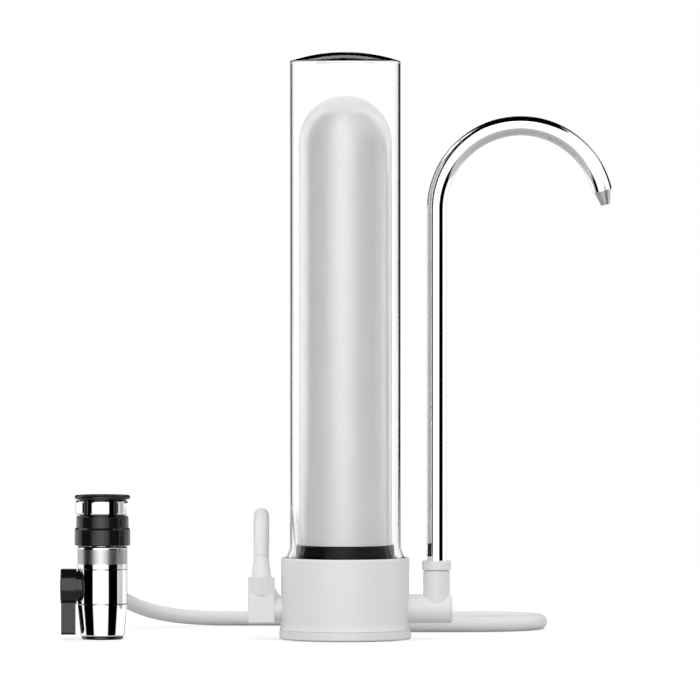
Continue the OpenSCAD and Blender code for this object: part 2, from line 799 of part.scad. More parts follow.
module outlet_sleeve() {
    spigot_z = valve_z - spigot_len - fit_gap;
    foot_edge = 1.2;
    color(chrome) at_diverter() difference() {
        rotate_extrude() polygon(concat(
            [[0, outlet_z]],
            arc([outlet_foot_d / 2 - foot_edge, outlet_z + foot_edge], foot_edge, -90, 0),
            [[valve_r, valve_z], [0, valve_z]]));
        translate([0, 0, outlet_z - cut]) cylinder(h = aerator_h + fit_gap + cut, r = aerator_r);
        translate([0, 0, outlet_z]) cylinder(h = outlet_sleeve_h, r = bore_r + 1);
        translate([0, 0, spigot_z]) cylinder(h = spigot_len + cut, r = spigot_r + fit_gap);
    }
}

module valve_body() {
    seam = 0.3;
    color(chrome) difference() {
        union() {
            at_diverter() translate([0, 0, valve_z + seam]) cylinder(h = valve_h - 2 * seam, r = valve_r);
            at_diverter() translate([0, 0, valve_z - spigot_len])
                cylinder(h = valve_h + 2 * spigot_len, r = spigot_r);
            at_valve() along_y() cylinder(h = port_face, r = port_boss_r);
            at_hose_port() joint_nose();
        }
        at_diverter() translate([0, 0, valve_z - spigot_len - cut])
            cylinder(h = valve_h + 2 * (spigot_len + cut), r = bore_r);
        at_valve() along_y() cylinder(h = port_face + cut, r = bore_r - 0.5);
        at_hose_port() translate([0, 0, tail_seat]) cylinder(h = nose_len, r = hose_bore_r);
        at_valve() translate([plug_half + fit_gap, 0, 0]) along_minus_x()
            cylinder(h = plug_half + valve_r + cut, r = plug_r + run_gap);
        at_valve() translate([-bonnet_in, 0, 0]) along_minus_x()
            cylinder(h = valve_r, r = bonnet_r + fit_gap);
    }
}

module inlet_sleeve() {
    top = inlet_z + inlet_sleeve_h;
    color(chrome) at_diverter() difference() {
        rotate_extrude() polygon(concat(
            [[bore_r, inlet_z], [valve_r, inlet_z]],
            arc([valve_r - 2 * edge, top - 2 * edge], 2 * edge, 0, 90),
            [[bore_r, top]]));
        translate([0, 0, inlet_z - cut]) cylinder(h = spigot_len + fit_gap + cut, r = spigot_r + fit_gap);
        translate([0, 0, top - swivel_len - fit_gap]) cylinder(h = swivel_len + cut, r = swivel_r + fit_gap);
    }
}

module swivel_tail() {
    foot = inlet_z + inlet_sleeve_h - swivel_len;
    color(chrome) at_diverter() rotate_extrude() polygon([
        [bore_r, foot], [swivel_r, foot], [swivel_r, swivel_z], [swivel_flange_r, swivel_z],
        [swivel_flange_r, washer_z], [bore_r, washer_z]]);
}

module swivel_washer() {
    color(rubber) at_diverter() translate([0, 0, washer_z]) tube(washer_t, swivel_flange_r - edge, bore_r + 1);
}

module union_collar() {
    grip_r = collar_d / 2;
    ring_r = collar_ring_d / 2;
    cavity_r = swivel_flange_r + thread_gap;
    color(black) at_diverter() rotate_extrude() polygon([
        [swivel_r + thread_gap, collar_low], [grip_r - edge, collar_low], [grip_r, collar_low + edge],
        [grip_r, collar_mid - edge], [ring_r, collar_mid + edge], [ring_r, collar_high - edge],
        [ring_r - edge, collar_high], [cavity_r, collar_high], [cavity_r, lip_top],
        [swivel_r + thread_gap, lip_top]]);
}

// One pad with rounded edges on the adapter's neck, about +X
module neck_pad() {
    pad_angle = 240 / pad_count;
    half_h = neck_h / 2 - 0.3;
    round_r = 1.6;
    root = 0.5;
    rotate(-pad_angle / 2) rotate_extrude(angle = pad_angle) translate([neck_d / 2, neck_z + neck_h / 2])
        polygon(concat(
            [[-pad_proud - root, -half_h]],
            arc([-round_r, round_r - half_h], round_r, -90, 0),
            arc([-round_r, half_h - round_r], round_r, 0, 90),
            [[-pad_proud - root, half_h]]));
}

module tap_adapter() {
    core_r = neck_d / 2 - pad_proud;
    first_pad = -94;
    thread_r = tap_thread_d / 2;
    color(chrome) at_diverter() difference() {
        union() {
            translate([0, 0, adapter_z]) cylinder(h = neck_z - adapter_z + cut, r = adapter_spigot_r);
            translate([0, 0, neck_z]) cylinder(h = neck_h, r = core_r);
            for (i = [0 : pad_count - 1]) rotate(first_pad + i * 360 / pad_count) neck_pad();
        }
        translate([0, 0, adapter_z - cut]) cylinder(h = neck_z, r = bore_r + 2);
        translate([0, 0, seat_z]) cylinder(h = neck_h, r = thread_r - 0.5);
        translate([0, 0, seat_z + seat_h]) cylinder(h = neck_h, r = thread_r);
    }
}

module tap_washer() {
    color(rubber) at_diverter() translate([0, 0, seat_z])
        tube(seat_h - fit_gap, tap_thread_d / 2 - 0.5 - fit_gap, bore_r + 2);
}

module tap_flange() {
    rim_r = flange_t / 2;
    color(black) at_diverter() rotate_extrude() difference() {
        union() {
            translate([tap_thread_d / 2 + 0.5, flange_z])
                square([flange_d / 2 - rim_r - tap_thread_d / 2 - 0.5, flange_t]);
            translate([flange_d / 2 - rim_r, flange_z + rim_r]) circle(rim_r, $fn = 32);
        }
        translate([0, flange_z - cut]) square([tap_thread_d / 2 + 0.5, flange_t + 2 * cut]);
    }
}

// Lever and valve plug, about the lever's axis

plug_seal_ring_r = plug_r - plug_seal_r;

module at_plug_seals() {
    for (side = [-1, 1])
        at_valve() translate([side * (plug_half - 1.7), 0, 0]) along_x() children();
}

module valve_plug() {
    color(chrome) difference() {
        union() {
            at_valve() translate([plug_half, 0, 0]) along_minus_x() cylinder(h = 2 * plug_half, r = plug_r);
            at_valve() translate([-plug_half, 0, 0]) along_minus_x()
                cylinder(h = bonnet_out - plug_half, r = stem_r);
            at_valve() translate([-drive_end, -drive_w / 2, -drive_w / 2])
                cube([drive_end - bonnet_out + cut, drive_w, drive_w]);
        }
        // Three-way channel: up, down and towards the viewer
        at_valve() translate([0, 0, -plug_r - cut]) cylinder(h = 2 * (plug_r + cut), r = bore_r);
        at_valve() rotate([90, 0, 0]) cylinder(h = plug_r + cut, r = bore_r - 0.5);
        at_valve() translate([-drive_end - cut, 0, 0]) along_x()
            cylinder(h = lever_screw_len + cut, r = lever_screw_r + fit_gap);
        at_plug_seals() seal_groove(plug_seal_ring_r, plug_seal_r);
    }
}

module plug_seals() {
    color(rubber) at_plug_seals() seal_ring(plug_seal_ring_r, plug_seal_r);
}

bonnet_seal_x = (bonnet_in + bonnet_out) / 2;
bonnet_seal_ring_r = stem_r + run_gap + stem_seal_r;

module valve_bonnet() {
    color(black) difference() {
        at_valve() translate([-bonnet_in - fit_gap, 0, 0]) along_minus_x()
            tube(bonnet_out - bonnet_in - fit_gap, bonnet_r, stem_r + run_gap);
        at_valve() translate([-bonnet_seal_x, 0, 0]) along_x() seal_groove(bonnet_seal_ring_r, stem_seal_r);
    }
}

module bonnet_seal() {
    color(rubber) at_valve() translate([-bonnet_seal_x, 0, 0]) along_x()
        seal_ring(bonnet_seal_ring_r, stem_seal_r);
}

module valve_lever() {
    socket_w = drive_w + 2 * fit_gap;
    shroud_len = 0.7;
    round_r = 1.5;
    arm_x = arm_w / 2;
    color(black) difference() {
        union() {
            at_valve() translate([-lever_in, 0, 0]) along_minus_x() {
                cylinder(h = lever_t - edge, d = hub_d);
                translate([0, 0, lever_t - edge]) cylinder(h = edge, r1 = hub_d / 2, r2 = hub_d / 2 - edge);
            }
            at_valve() translate([-lever_out + edge / 2, 0, 0]) rotate([90, 0, 90])
                linear_extrude(lever_t - edge / 2)
                    polygon(concat(
                        [[arm_x, 0], [-arm_x, 0]],
                        arc([round_r - arm_x, round_r - arm_len], round_r, 180, 270),
                        arc([arm_x - round_r, round_r - arm_len], round_r, 270, 360)));
            at_valve() translate([shroud_len - lever_in, 0, 0]) along_minus_x()
                tube(shroud_len + edge, hub_d / 2, bonnet_r + thread_gap);
        }
        at_valve() translate([-drive_end - fit_gap, -socket_w / 2, -socket_w / 2])
            cube([lever_t, socket_w, socket_w]);
        at_valve() translate([-lever_out - cut, 0, 0]) along_x()
            cylinder(h = lever_out - drive_end + 2 * cut, r = lever_screw_r + fit_gap);
        at_valve() translate([-lever_out - cut, 0, 0]) along_x()
            cylinder(h = cut + 1.2, r = lever_screw_head_r + fit_gap);
    }
}

module lever_screw() {
    head_t = 1;
    color(chrome) at_valve() translate([-lever_out + 0.1, 0, 0]) along_x() {
        cylinder(h = head_t, r = lever_screw_head_r);
        cylinder(h = lever_screw_len, r = lever_screw_r);
    }
}

// Hose and its joint at the diverter

module hose_nut() {
    color(white) at_hose_port() joint_nut();
}

module hose_ferrule() {
    color(chrome) at_hose_port() joint_ferrule();
}

module hose_boot() {
    tip = hose_start - port_face;
    color(white) at_hose_port() {
        joint_tail();
        translate([0, 0, nut_len]) cylinder(h = tip - nut_len, r1 = boot_r, r2 = boot_tip_r);
    }
}

module hose() {
    color(white) hose_stretch(rings_per_span, len(hose_line) - 1, hose_r, hose_r);
}

base_shell();
base_manifold();
base_plate();
base_pad();
base_screws();
inlet_elbow();
inlet_seal();
inlet_nut();
inlet_ferrule();
inlet_boot();
outlet_elbow();
outlet_seal();
outlet_plug();
spout_collar();
housing_seal();
housing();
cartridge_gasket();
cartridge_end_cap();
cartridge_seal();
cartridge_shell();
cartridge_core();
spout_tail();
spout_seals();
spout_tube();
spout_nozzle();
aerator_insert();
aerator_screen();
outlet_sleeve();
valve_body();
inlet_sleeve();
swivel_tail();
swivel_washer();
union_collar();
tap_adapter();
tap_washer();
tap_flange();
valve_plug();
plug_seals();
valve_bonnet();
bonnet_seal();
valve_lever();
lever_screw();
hose_nut();
hose_ferrule();
hose_boot();
hose();
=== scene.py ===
"""Looks of the countertop water filter: camera, hose, canister, spout tube, materials, stage and light."""
import json
import math

import bpy
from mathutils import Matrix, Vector


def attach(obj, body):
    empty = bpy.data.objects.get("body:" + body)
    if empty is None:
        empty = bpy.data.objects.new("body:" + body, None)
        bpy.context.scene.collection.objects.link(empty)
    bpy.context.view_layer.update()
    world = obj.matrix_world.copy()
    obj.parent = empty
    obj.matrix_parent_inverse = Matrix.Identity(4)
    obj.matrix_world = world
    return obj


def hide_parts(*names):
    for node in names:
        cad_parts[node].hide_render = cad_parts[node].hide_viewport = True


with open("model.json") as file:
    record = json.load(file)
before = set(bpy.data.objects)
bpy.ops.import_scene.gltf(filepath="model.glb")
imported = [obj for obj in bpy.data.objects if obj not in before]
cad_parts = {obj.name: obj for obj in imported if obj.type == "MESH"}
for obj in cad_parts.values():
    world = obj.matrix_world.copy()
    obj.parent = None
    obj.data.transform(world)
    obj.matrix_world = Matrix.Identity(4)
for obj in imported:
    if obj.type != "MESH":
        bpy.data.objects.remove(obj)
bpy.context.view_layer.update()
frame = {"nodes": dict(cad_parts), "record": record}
nodes = frame["nodes"]
scene = bpy.context.scene
MM = 0.001


# Camera, at the photograph's viewing angle, with the horizon's height above the picture's centre

PICTURE_W_PX = 700
FOCAL_PX = 8125
HORIZON_PX = 125
SENSOR_W = 36
CAMERA_PLACE = (0.0027, -4.55, 0.232)
FAR_CLIP = 200
camera_data = bpy.data.cameras.new("camera")
camera_data.sensor_width = SENSOR_W
camera_data.lens = SENSOR_W * FOCAL_PX / PICTURE_W_PX
camera_data.clip_end = FAR_CLIP
camera = bpy.data.objects.new("camera", camera_data)
camera.location = CAMERA_PLACE
camera.rotation_euler = (math.pi / 2 - math.atan(HORIZON_PX / FOCAL_PX), 0, 0)
scene.collection.objects.link(camera)
scene.camera = camera


# Mesh helpers

CRISP_ANGLE = math.radians(25)


def mesh_piece(name, verts, faces, body):
    """A new smooth piece with crisp edges, from vertices in millimetres, that rides on a body."""
    data = bpy.data.meshes.new(name)
    data.from_pydata([[c * MM for c in v] for v in verts], [], faces)
    data.polygons.foreach_set("use_smooth", [True] * len(data.polygons))
    data.set_sharp_from_angle(angle=CRISP_ANGLE)
    piece = bpy.data.objects.new(name, data)
    scene.collection.objects.link(piece)
    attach(piece, body)
    return piece


def arc(x, z, radius, start, stop, steps):
    """Points of an arc in a plane, with its angles in degrees."""
    angles = [math.radians(start + (stop - start) * i / steps) for i in range(steps + 1)]
    return [(x + radius * math.cos(a), z + radius * math.sin(a)) for a in angles]


def lathe(name, outline, sides, body):
    """A piece turned about +Z from an outline of (radius, height) points that begins and ends on the axis."""
    rings = outline[1:-1]
    last = len(rings) * sides + 1
    verts = [(0, 0, outline[0][1])]
    for r, z in rings:
        angles = [2 * math.pi * k / sides for k in range(sides)]
        verts += [(r * math.cos(a), r * math.sin(a), z) for a in angles]
    verts.append((0, 0, outline[-1][1]))
    faces = []
    for k in range(sides):
        here, there = 1 + k, 1 + (k + 1) % sides
        faces.append((0, there, here))
        for i in range(len(rings) - 1):
            low, high = i * sides, (i + 1) * sides
            faces.append((low + here, low + there, high + there, high + here))
        top = (len(rings) - 1) * sides
        faces.append((top + here, top + there, last))
    return mesh_piece(name, verts, faces, body)


def smooth_line(points, steps):
    """Points of the even curve that a route guides, with steps to each span."""
    p = [Vector(q) for q in points]
    p = [2 * p[0] - p[1], *p, 2 * p[-1] - p[-2]]
    line = []
    for a, b, c, d in zip(p, p[1:], p[2:], p[3:]):
        for k in range(steps):
            t = k / steps
            u = 1 - t
            line.append((u ** 3 * a + (4 - 6 * t * t + 3 * t ** 3) * b
                         + (4 - 6 * u * u + 3 * u ** 3) * c + t ** 3 * d) / 6)
    line.append(p[-2])
    return line


def swept(name, line, radii, sides, body):
    """A closed tube along a line, with a radius for each point."""
    count = len(line)
    along = [(line[min(i + 1, count - 1)] - line[max(i - 1, 0)]).normalized() for i in range(count)]
    aside = Vector((1, 0, 0))
    verts, faces = [], []
    for i, centre in enumerate(line):
        aside = (aside - aside.dot(along[i]) * along[i]).normalized()
        across = along[i].cross(aside)
        for k in range(sides):
            a = 2 * math.pi * k / sides
            verts.append(centre + radii[i] * (math.cos(a) * aside + math.sin(a) * across))
        if i:
            for k in range(sides):
                a, b = (i - 1) * sides + k, (i - 1) * sides + (k + 1) % sides
                faces.append((a, b, b + sides, a + sides))
    faces.append(tuple(range(sides - 1, -1, -1)))
    faces.append(tuple((count - 1) * sides + k for k in range(sides)))
    return mesh_piece(name, verts, faces, body)


# Hose and its boot at the elbow

HOSE_ROUTE = [
    (-47, 0, 35.6), (-47, 2.5, 45.7), (-47, 7.8, 54.6), (-47, 15.3, 61.7), (-47.1, 24.6, 66.5),
    (-47.2, 34.8, 68.4), (-47.4, 45.1, 67.3), (-47.6, 54.7, 63.4), (-47.8, 62.8, 57), (-47.9, 68.8, 48.5),
    (-48, 72.2, 38.7), (-46.2, 74.2, 28.1), (-41.2, 76, 18.5), (-33.2, 77.4, 10.9), (-23.2, 78.4, 6),
    (-12, 78.7, 4.3), (0, 78.7, 4.3), (35, 78.7, 4.3), (60.8, 78.7, 4.3), (74.8, 78.7, 4.3),
    (86.4, 80.5, 4.3), (96.8, 85.8, 4.3), (105.1, 94.1, 4.3), (110.5, 104.6, 4.3), (112.3, 116.2, 4.3),
    (110.5, 127.8, 4.3), (105.1, 138.3, 4.3), (96.8, 146.6, 4.3), (86.4, 151.9, 4.3), (74.8, 153.7, 4.3),
    (60.8, 153.7, 4.3), (-11, 153.7, 4.3), (-48, 153.7, 4.3), (-62, 153.7, 4.3), (-90.3, 148.1, 4.6),
    (-114.3, 132, 9.2), (-130.4, 108, 18.5), (-136, 79.7, 25.8), (-136, 53.2, 29.2), (-136, 32.2, 29.6),
]
HOSE_R = 4.25
HOSE_SIDES = 28
STEPS = 6
hose_line = smooth_line(HOSE_ROUTE, STEPS)
hose_free = hose_line[STEPS:]
hose = swept("hose_tube", hose_free, [HOSE_R] * len(hose_free), HOSE_SIDES, "base")
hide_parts("hose")

BOOT_R = 5.6
BOOT_TIP_R = 4.26
BOOT_TAPER = 1.6
BOOT_SIDES = 48
BOOT_FOOT_Z, BOOT_SEAT_Z = 34.5, 35.2
elbow_x = HOSE_ROUTE[0][0]
boot_foot = [Vector((elbow_x, 0, z)) for z in (BOOT_FOOT_Z, BOOT_SEAT_Z)]
boot_line = [*boot_foot, *hose_line[:STEPS + 1]]
boot_taper = [BOOT_TIP_R + (BOOT_R - BOOT_TIP_R) * (1 - i / STEPS) ** BOOT_TAPER for i in range(STEPS + 1)]
boot_radii = [*[BOOT_R] * len(boot_foot), *boot_taper]
boot = swept("inlet_boot_sleeve", boot_line, boot_radii, BOOT_SIDES, "base")
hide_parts("inlet_boot")


# Canister and spout tube, in the CAD's sizes but finer, because clear and chrome surfaces show every facet

HOUSING_BORE_R, HOUSING_R, SKIRT_BORE_R, SKIRT_R = 28.0, 31.0, 29.8, 33.3
HOUSING_Z, BASE_H, FLARE_Z = 30.5, 45.8, 51.0
INNER_TOP, DOME_RISE, TOP = 322.0, 5.1, 328.8
GROOVE_R, GROOVE_LOW, GROOVE_HIGH = 30.95, 32.7, 35.3
RIM_R = 0.8
CANISTER_SIDES, RIM_STEPS, DOME_STEPS = 384, 6, 32
dome_r = (HOUSING_R ** 2 + DOME_RISE ** 2) / (2 * DOME_RISE)
rim_lean = math.degrees(math.acos((HOUSING_R - RIM_R) / (dome_r - RIM_R)))
rim_z = TOP - dome_r + math.sqrt((dome_r - RIM_R) ** 2 - (HOUSING_R - RIM_R) ** 2)
canister = lathe("canister", [
    (0, INNER_TOP), (HOUSING_BORE_R, INNER_TOP), (HOUSING_BORE_R, FLARE_Z), (SKIRT_BORE_R, BASE_H),
    (SKIRT_BORE_R, HOUSING_Z), (SKIRT_R, HOUSING_Z), (SKIRT_R, GROOVE_LOW), (GROOVE_R, GROOVE_LOW),
    (GROOVE_R, GROOVE_HIGH), (SKIRT_R, GROOVE_HIGH), (SKIRT_R, BASE_H), (HOUSING_R, FLARE_Z),
    *arc(HOUSING_R - RIM_R, rim_z, RIM_R, 0, rim_lean, RIM_STEPS)[:-1],
    *arc(0, TOP - dome_r, dome_r, rim_lean, 90, DOME_STEPS),
], CANISTER_SIDES, "housing")
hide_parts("housing")

SPOUT_X, TUBE_Z, RISER_TOP = 51.2, 36.4, 240.5
BEND_R, BEND_ANGLE, SPOUT_R = 47.0, 167, 5.5
SPOUT_SIDES, RISER_STEPS, BEND_STEPS = 64, 8, 96
riser = [(SPOUT_X, TUBE_Z + (RISER_TOP - TUBE_Z) * i / RISER_STEPS) for i in range(RISER_STEPS)]
bend = arc(SPOUT_X + BEND_R, RISER_TOP, BEND_R, 180, 180 - BEND_ANGLE, BEND_STEPS)
spout_line = [Vector((x, 0, z)) for x, z in riser + bend]
gooseneck = swept("gooseneck", spout_line, [SPOUT_R] * len(spout_line), SPOUT_SIDES, "spout")
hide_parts("spout_tube")


# Node helpers

def new_material(name):
    material = bpy.data.materials.new(name)
    material.use_nodes = True
    tree = material.node_tree
    return material, tree, tree.nodes["Principled BSDF"]


def add(tree, kind, inputs=None, **settings):
    node = tree.nodes.new(kind)
    for key, value in settings.items():
        setattr(node, key, value)
    for key, value in (inputs or {}).items():
        if isinstance(value, bpy.types.NodeSocket):
            tree.links.new(value, node.inputs[key])
        else:
            node.inputs[key].default_value = value
    return node


def maths(tree, operation, *values):
    return add(tree, "ShaderNodeMath", dict(enumerate(values)), operation=operation).outputs["Value"]


def vector_maths(tree, operation, *values):
    return add(tree, "ShaderNodeVectorMath", dict(enumerate(values)), operation=operation)


def object_coords(tree):
    return add(tree, "ShaderNodeTexCoord").outputs["Object"]


def noise(tree, scale, detail=3.0, coords=None):
    return add(tree, "ShaderNodeTexNoise", {"Vector": coords or object_coords(tree), "Scale": scale,
                                            "Detail": detail}).outputs["Fac"]


def spread(tree, value, low, high, start=0.3, stop=0.7):
    return add(tree, "ShaderNodeMapRange", {"Value": value, "From Min": start, "From Max": stop,
                                            "To Min": low, "To Max": high}).outputs["Result"]


def within(tree, value, low, high, edge):
    """1 between two limits, with soft edges."""
    above = spread(tree, value, 0, 1, low - edge, low + edge)
    below = spread(tree, value, 1, 0, high - edge, high + edge)
    return maths(tree, "MULTIPLY", above, below)


def shades(tree, value, dark, light, start=0.3, stop=0.7):
    ramp = add(tree, "ShaderNodeValToRGB", {"Fac": value})
    ramp.color_ramp.elements[0].position = start
    ramp.color_ramp.elements[0].color = (*dark, 1)
    ramp.color_ramp.elements[1].position = stop
    ramp.color_ramp.elements[1].color = (*light, 1)
    return ramp.outputs["Color"]


def bumped(tree, shader, height, strength, distance):
    bump = add(tree, "ShaderNodeBump", {"Height": height, "Strength": strength, "Distance": distance})
    tree.links.new(bump.outputs["Normal"], shader.inputs["Normal"])


# Materials, with noise scales per metre and depths in metres

DRIFT_SCALE, GLOSS_SCALE, GLOSS_SPREAD, SKIN_DEPTH = 45, 160, 0.05, 0.00004
SKIN_DETAIL = 2.0
PLATE_SCALE, MARK_DETAIL, MARK_DEPTH = 60, 4.0, 0.00003
MARK_GLOSS = (0.8, 1.25)
BAND_EDGE, BAND_GRAIN, BAND_ROUGH = 0.0002, (2600, 2600, 120), (0.25, 0.34)
PLATE_ROUGH = 0.035
SEAM_EDGE, SEAM_SHADE = 0.0001, 0.0003
SEAMED_SCALE, SEAMED_ROUGH = 900, (0.025, 0.04)
STREAK_SCALE, CLEAR_IOR = 30, 1.49


def moulded(name, dark, light, rough, grain, strength, specular=0.5):
    """Moulded plastic: faint colour drift, uneven gloss and a fine skin texture."""
    material, tree, shader = new_material(name)
    gloss = spread(tree, noise(tree, GLOSS_SCALE), rough - GLOSS_SPREAD, rough + GLOSS_SPREAD)
    tree.links.new(shades(tree, noise(tree, DRIFT_SCALE), dark, light), shader.inputs["Base Color"])
    tree.links.new(gloss, shader.inputs["Roughness"])
    shader.inputs["Specular IOR Level"].default_value = specular
    bumped(tree, shader, noise(tree, grain, SKIN_DETAIL), strength, SKIN_DEPTH)
    return material


def glazed(material, rough, ior):
    """The same material under a clear glaze."""
    glaze = {"Coat Weight": 1.0, "Coat Roughness": rough, "Coat IOR": ior}
    for key, value in glaze.items():
        material.node_tree.nodes["Principled BSDF"].inputs[key].default_value = value
    return material


def stretched_marks(tree, grain):
    """Fine marks, stretched by their scale along each axis."""
    place = add(tree, "ShaderNodeMapping", {"Vector": object_coords(tree), "Scale": grain}).outputs["Vector"]
    return noise(tree, 1.0, MARK_DETAIL, place)


def polished(name, dark, light, rough, grain=(900, 900, 900), strength=0.0):
    """Plated or turned metal with fine marks."""
    material, tree, shader = new_material(name)
    marks = stretched_marks(tree, grain)
    tree.links.new(shades(tree, noise(tree, PLATE_SCALE), dark, light), shader.inputs["Base Color"])
    low, high = (rough * share for share in MARK_GLOSS)
    tree.links.new(spread(tree, marks, low, high), shader.inputs["Roughness"])
    shader.inputs["Metallic"].default_value = 1.0
    if strength:
        bumped(tree, shader, marks, strength, MARK_DEPTH)
    return material


def banded_chrome(name, low, high):
    """Chrome with a satin band between two heights."""
    plate, band = (0.82, 0.82, 0.83), (0.42, 0.42, 0.425)
    material, tree, shader = new_material(name)
    z = add(tree, "ShaderNodeSeparateXYZ", {"Vector": object_coords(tree)}).outputs["Z"]
    inside = within(tree, z, low, high, BAND_EDGE)
    tree.links.new(shades(tree, inside, plate, band, 0, 1), shader.inputs["Base Color"])
    satin_rough = spread(tree, stretched_marks(tree, BAND_GRAIN), *BAND_ROUGH)
    rough = add(tree, "ShaderNodeMix", {"Factor": inside, "A": PLATE_ROUGH, "B": satin_rough})
    tree.links.new(rough.outputs["Result"], shader.inputs["Roughness"])
    shader.inputs["Metallic"].default_value = 1.0
    return material


def seam_shade_chrome(name, centre, core_r, low=0, high=1):
    """Chrome with painted shade in its seams: near black within core_r of an upright axis, and outside any
    heights given.
    """
    # near-black painted shade for the seams and the recessed core, and the bright plate elsewhere
    seam_shade, plate = (0.03, 0.03, 0.03), (0.9, 0.9, 0.905)
    material, tree, shader = new_material(name)
    offset = vector_maths(tree, "SUBTRACT", object_coords(tree), centre).outputs["Vector"]
    flat = vector_maths(tree, "MULTIPLY", offset, (1, 1, 0)).outputs["Vector"]
    radius = vector_maths(tree, "LENGTH", flat).outputs["Value"]
    z = add(tree, "ShaderNodeSeparateXYZ", {"Vector": offset}).outputs["Z"]
    outside = spread(tree, radius, 0, 1, core_r - SEAM_SHADE, core_r)
    unshaded = maths(tree, "MULTIPLY", outside, within(tree, z, low, high, SEAM_EDGE))
    tree.links.new(shades(tree, unshaded, seam_shade, plate, 0, 1), shader.inputs["Base Color"])
    tree.links.new(spread(tree, noise(tree, SEAMED_SCALE), *SEAMED_ROUGH), shader.inputs["Roughness"])
    shader.inputs["Metallic"].default_value = 1.0
    return material


def clear_material():
    """Clear polished plastic with faint moulding streaks in its tint."""
    material, tree, shader = new_material("clear_plastic_skin")
    tint = shades(tree, noise(tree, STREAK_SCALE), (0.984, 0.984, 0.984), (0.994, 0.994, 0.994))
    tree.links.new(tint, shader.inputs["Base Color"])
    shader.inputs["Roughness"].default_value = 0.0
    shader.inputs["Transmission Weight"].default_value = 1.0
    shader.inputs["IOR"].default_value = CLEAR_IOR
    return material


DEEP_BLACK = ((0.004, 0.004, 0.0045), (0.008, 0.008, 0.0085))
DIVERTER_AXIS = (-0.136, 0, 0)
BAND_LOW, BAND_HIGH = 0.0422, 0.0506
BODY_CORE_R, BODY_LOW, BODY_HIGH = 0.0125, 0.0201, 0.039
PAD_CORE_R = 0.0136
white_plastic = moulded("white_plastic_skin", (0.79, 0.79, 0.785), (0.805, 0.805, 0.8),
                        rough=0.34, grain=2200, strength=0.015, specular=0.3)
hose_plastic = moulded("hose_skin", (0.8, 0.8, 0.795), (0.815, 0.815, 0.81),
                       rough=0.4, grain=1800, strength=0.02, specular=0.3)
black_plastic = moulded("black_plastic_skin", *DEEP_BLACK,
                        rough=0.17, grain=1800, strength=0.05, specular=0.42)
cap_plastic = moulded("cap_skin", *DEEP_BLACK, rough=0.4, grain=1500, strength=0.08, specular=0.06)
rubber = moulded("rubber_skin", (0.03, 0.03, 0.03), (0.045, 0.045, 0.045),
                 rough=0.7, grain=700, strength=0.15)
ceramic = moulded("ceramic_skin", (0.93, 0.93, 0.925), (0.955, 0.955, 0.95),
                  rough=0.38, grain=2600, strength=0.04, specular=0.85)
ceramic = glazed(ceramic, rough=0.3, ior=1.8)
carbon = moulded("carbon_skin", (0.012, 0.012, 0.012), (0.03, 0.03, 0.03),
                 rough=0.8, grain=500, strength=0.4)
chrome = polished("chrome_plate", (0.87, 0.87, 0.875), (0.91, 0.91, 0.915), rough=0.03)
satin = polished("satin_steel", (0.5, 0.5, 0.505), (0.57, 0.57, 0.575),
                 rough=0.36, grain=(2500, 2500, 160), strength=0.2)
brass = polished("turned_brass", (0.66, 0.48, 0.2), (0.74, 0.55, 0.25),
                 rough=0.22, grain=(300, 300, 3000), strength=0.1)
steel = polished("screw_steel", (0.5, 0.5, 0.51), (0.58, 0.58, 0.59),
                 rough=0.25, grain=(1500, 1500, 1500), strength=0.1)
satin_band = banded_chrome("banded_chrome", BAND_LOW, BAND_HIGH)
# chrome of the diverter body and tap adapter, with painted shade in the body's seams and in the recessed core
# between the pads
body_chrome = seam_shade_chrome("body_chrome", DIVERTER_AXIS, BODY_CORE_R, BODY_LOW, BODY_HIGH)
pad_chrome = seam_shade_chrome("pad_chrome", DIVERTER_AXIS, PAD_CORE_R)
clear = clear_material()

BY_SLOT = {
    "white_plastic": white_plastic, "black_plastic": black_plastic, "clear_plastic": clear,
    "ceramic": ceramic, "carbon": carbon, "chrome": chrome, "satin_steel": satin,
    "turned_brass": brass, "screw_steel": steel, "seal_rubber": rubber, "hose_plastic": hose_plastic,
}
for sub in frame["record"]["subparts"]:
    for material_slot in nodes[sub["node"]].material_slots:
        material_slot.material = BY_SLOT[sub["material_slot"]]
BY_NODE = {
    "inlet_sleeve": satin_band, "valve_body": body_chrome, "tap_adapter": pad_chrome,
    "cartridge_end_cap": cap_plastic,
}
for name, material in BY_NODE.items():
    nodes[name].material_slots[0].material = material
for piece, material in ((hose, hose_plastic), (boot, hose_plastic), (canister, clear), (gooseneck, chrome)):
    piece.data.materials.append(material)


# Stage

FLOOR_REACH = 0.9
FLOOR_ALBEDO = (0.49, 0.51)
FLOOR_GLOW = 0.5
FLOOR_GRAIN, FLOOR_ROUGH, FLOOR_SHEEN = 3, 0.9, 0.1
# Ray depth past which light has bounced about in the canister's thick top
MANY_BOUNCES = 7.5


def stage_plane(name, corners, material):
    data = bpy.data.meshes.new(name)
    data.from_pydata(corners, [], [(0, 1, 2, 3)])
    plane = bpy.data.objects.new(name, data)
    plane.data.materials.append(material)
    scene.collection.objects.link(plane)
    return plane


def floor_material():
    """Pale floor: white away from the object's shadow, and painted black through the canister's thick top, as
    shade for its dark outline.
    """
    material, tree, shader = new_material("floor_paper")
    path = add(tree, "ShaderNodeLightPath")
    # 0 past many bounces, which paints the floor black as shade for the outline of the canister's top
    straight = maths(tree, "LESS_THAN", path.outputs["Ray Depth"], MANY_BOUNCES)
    paper = maths(tree, "MULTIPLY", straight, spread(tree, noise(tree, FLOOR_GRAIN), *FLOOR_ALBEDO))
    tree.links.new(shades(tree, paper, (0, 0, 0), (1, 1, 1), 0, 1), shader.inputs["Base Color"])
    shader.inputs["Roughness"].default_value = FLOOR_ROUGH
    shader.inputs["Specular IOR Level"].default_value = FLOOR_SHEEN
    seen = maths(tree, "MAXIMUM", path.outputs["Is Camera Ray"], path.outputs["Is Transmission Ray"])
    glow = maths(tree, "MULTIPLY", maths(tree, "MULTIPLY", seen, FLOOR_GLOW), straight)
    shader.inputs["Emission Color"].default_value = (1, 1, 1, 1)
    tree.links.new(glow, shader.inputs["Emission Strength"])
    return material


